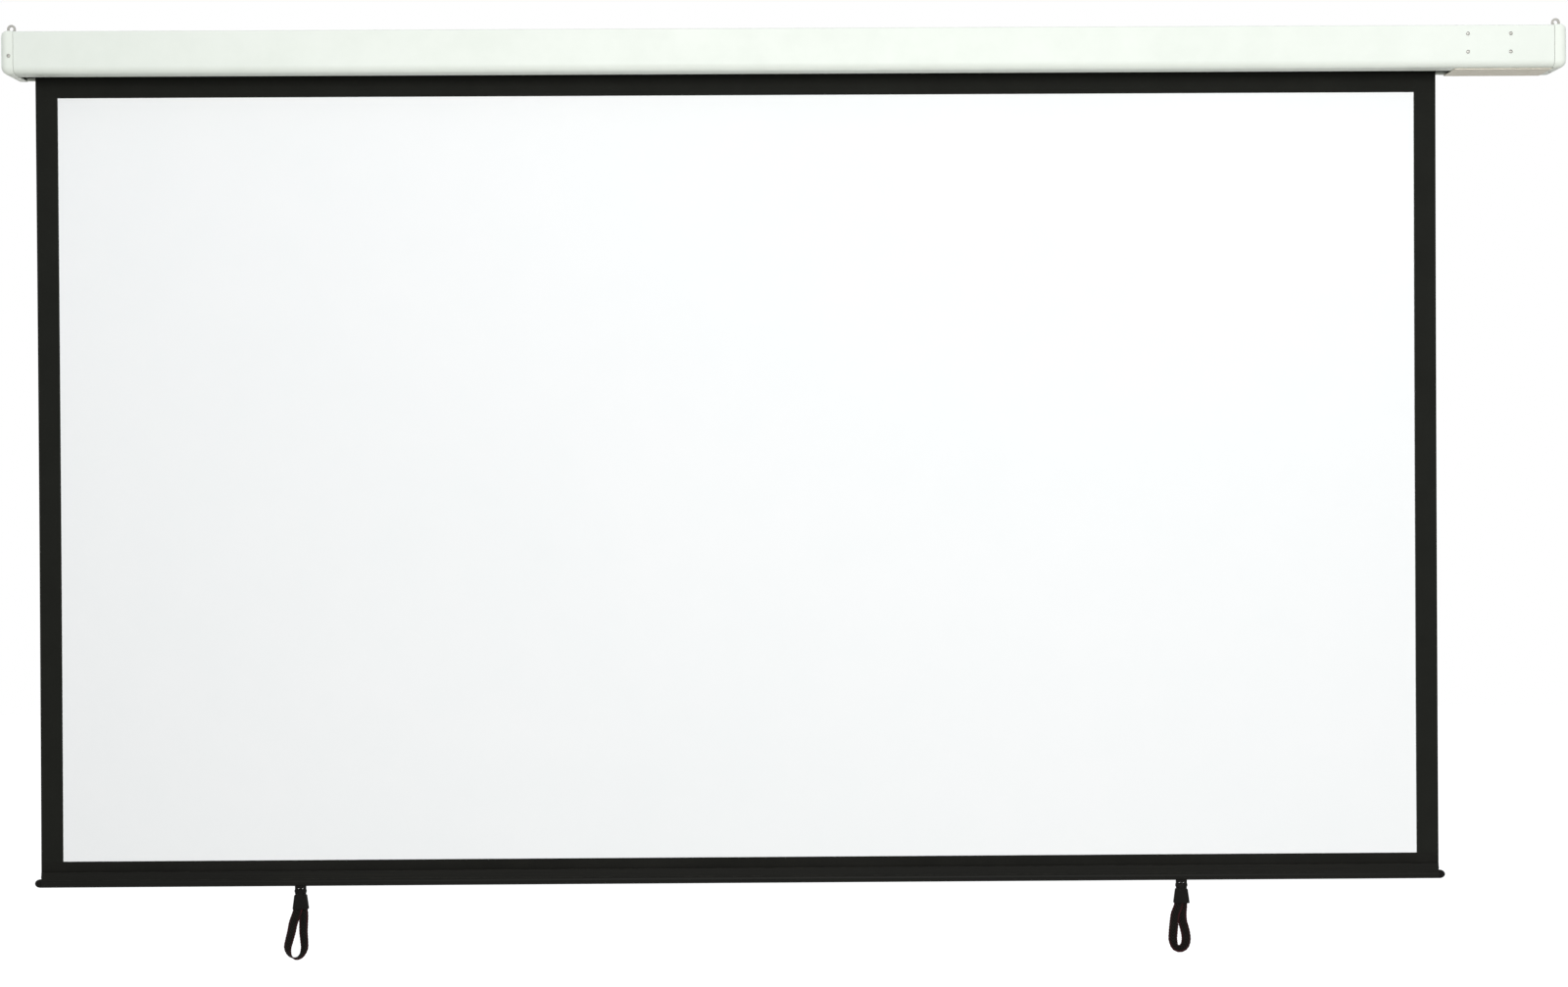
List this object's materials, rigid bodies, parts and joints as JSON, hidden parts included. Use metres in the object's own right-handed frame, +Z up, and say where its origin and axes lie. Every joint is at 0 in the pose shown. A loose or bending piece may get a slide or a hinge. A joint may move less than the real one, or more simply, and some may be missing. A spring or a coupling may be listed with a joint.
{
  "type": "motorized projector screen",
  "caption": "Wall-hung motorized projector screen: a slim white casing over a white sheet with black borders, a black weight bar and webbing pull loops.",
  "frame": {"origin": "centre of the casing's back face, on the wall", "axes": "+X to the right as seen from the front, along the casing; +Y to the wall; +Z up"},
  "size_m": [2.5204, 0.0807, 1.5194],
  "materials": {
    "powder_coat_white": "satin white powder coat",
    "moulded_white": "satin moulded white",
    "cover_greige": "matte grey-beige coat",
    "zinc_steel": "bright zinc plate",
    "mill_aluminium": "plain extruded",
    "matte_sheet": "matte white projection surface",
    "border_black": "matte black border",
    "bar_black": "satin black anodised",
    "motor_black": "satin black paint",
    "black_plastic": "matte moulded black",
    "black_rubber": "matte black rubber",
    "black_webbing": "woven black webbing",
    "nylon": "natural nylon",
    "grey_plastic": "matte moulded grey",
    "hem_rod_white": "drawn fibreglass"
  },
  "bodies": {
    "housing": {"casing": "powder_coat_white", "left_end_cap": "moulded_white", "right_end_cap": "moulded_white", "left_cap_screw": "zinc_steel", "right_cap_screw": "zinc_steel", "left_end_bracket": "zinc_steel", "right_end_bracket": "zinc_steel", "idler_pin": "zinc_steel", "motor_bracket": "zinc_steel", "motor_bracket_rivet_1": "zinc_steel", "motor_bracket_rivet_2": "zinc_steel", "motor_bracket_rivet_3": "zinc_steel", "motor_bracket_rivet_4": "zinc_steel", "upper_motor_screw": "zinc_steel", "lower_motor_screw": "zinc_steel", "motor_body": "motor_black", "motor_head": "black_plastic", "motor_lead": "black_rubber", "wiring_box": "grey_plastic", "wiring_box_lid": "grey_plastic", "cable_grommet": "black_rubber", "motor_bay_cover": "cover_greige", "screen_sheet": "matte_sheet"},
    "roller": {"roller_tube": "mill_aluminium", "idler_plug": "nylon", "idler_bush": "nylon", "crown_ring": "nylon", "drive_wheel": "nylon", "output_shaft": "zinc_steel", "sheet_wraps": "border_black"},
    "upper_limit": {"upper_limit_screw": "nylon"},
    "lower_limit": {"lower_limit_screw": "nylon"},
    "bar": {"weight_bar": "bar_black", "lower_border_strip": "border_black", "hem_rod": "hem_rod_white", "left_bar_cap": "black_plastic", "right_bar_cap": "black_plastic", "left_pull_bracket": "black_plastic", "right_pull_bracket": "black_plastic", "left_pull_rivet": "zinc_steel", "right_pull_rivet": "zinc_steel", "left_pull_pin": "zinc_steel", "right_pull_pin": "zinc_steel"},
    "left_pull": {"left_pull_clip": "black_plastic", "left_pull_webbing": "black_webbing"},
    "right_pull": {"right_pull_clip": "black_plastic", "right_pull_webbing": "black_webbing"}
  },
  "joints": [
    {"name": "screen_travel", "type": "slide", "parent": "housing", "child": "bar", "axis": [0, 0, 1], "range_m": [0, 1.2905], "deforming": ["screen_sheet"]},
    {"name": "roller_spin", "type": "hinge", "parent": "housing", "child": "roller", "pos_m": [-0.07925, -0.03855, 0], "axis": [1, 0, 0], "range_deg": [0, 3005]},
    {"name": "left_pull_swing", "type": "hinge", "parent": "bar", "child": "left_pull", "pos_m": [-0.79975, -0.016, -1.3595], "axis": [1, 0, 0], "range_deg": [-80, 80]},
    {"name": "right_pull_swing", "type": "hinge", "parent": "bar", "child": "right_pull", "pos_m": [0.64125, -0.016, -1.3595], "axis": [1, 0, 0], "range_deg": [-80, 80]},
    {"name": "upper_limit_turn", "type": "hinge", "parent": "housing", "child": "upper_limit", "pos_m": [1.07685, -0.03305, -0.01929], "axis": [0, 0, 1], "continuous": true},
    {"name": "lower_limit_turn", "type": "hinge", "parent": "housing", "child": "lower_limit", "pos_m": [1.07685, -0.02405, -0.01276], "axis": [0, 0, 1], "continuous": true}
  ],
  "couplings": [
    {"joint": "roller_spin", "follows": "screen_travel", "rad_per_m": 40.6}
  ]
}
